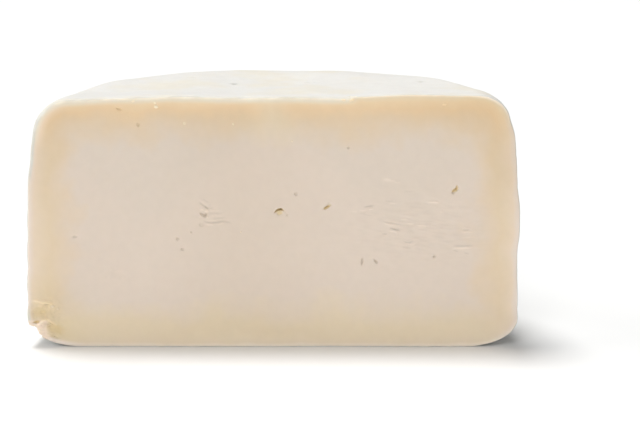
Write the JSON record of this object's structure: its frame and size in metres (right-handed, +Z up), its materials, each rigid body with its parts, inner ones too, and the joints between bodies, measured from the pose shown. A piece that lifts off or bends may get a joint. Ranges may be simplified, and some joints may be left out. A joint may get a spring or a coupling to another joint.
{
  "type": "goat cheese half wheel",
  "caption": "Half wheel of pale goat cheese standing on its flat base, with a smooth cut face, small openings in the paste and a crumbled lower corner.",
  "frame": {"origin": "on the surface the half stands on, under the middle of its bounding box", "axes": "+X along the cut face, to the right as seen from in front of it; +Y from the cut face towards the round rind; +Z up"},
  "size_m": [0.2009, 0.1011, 0.1046],
  "materials": {
    "paste": "matte, close-textured ivory paste, warmer in a band under the rind, with a thin pale rind"
  },
  "bodies": {
    "root": {"cheese_half": "paste"}
  },
  "joints": []
}
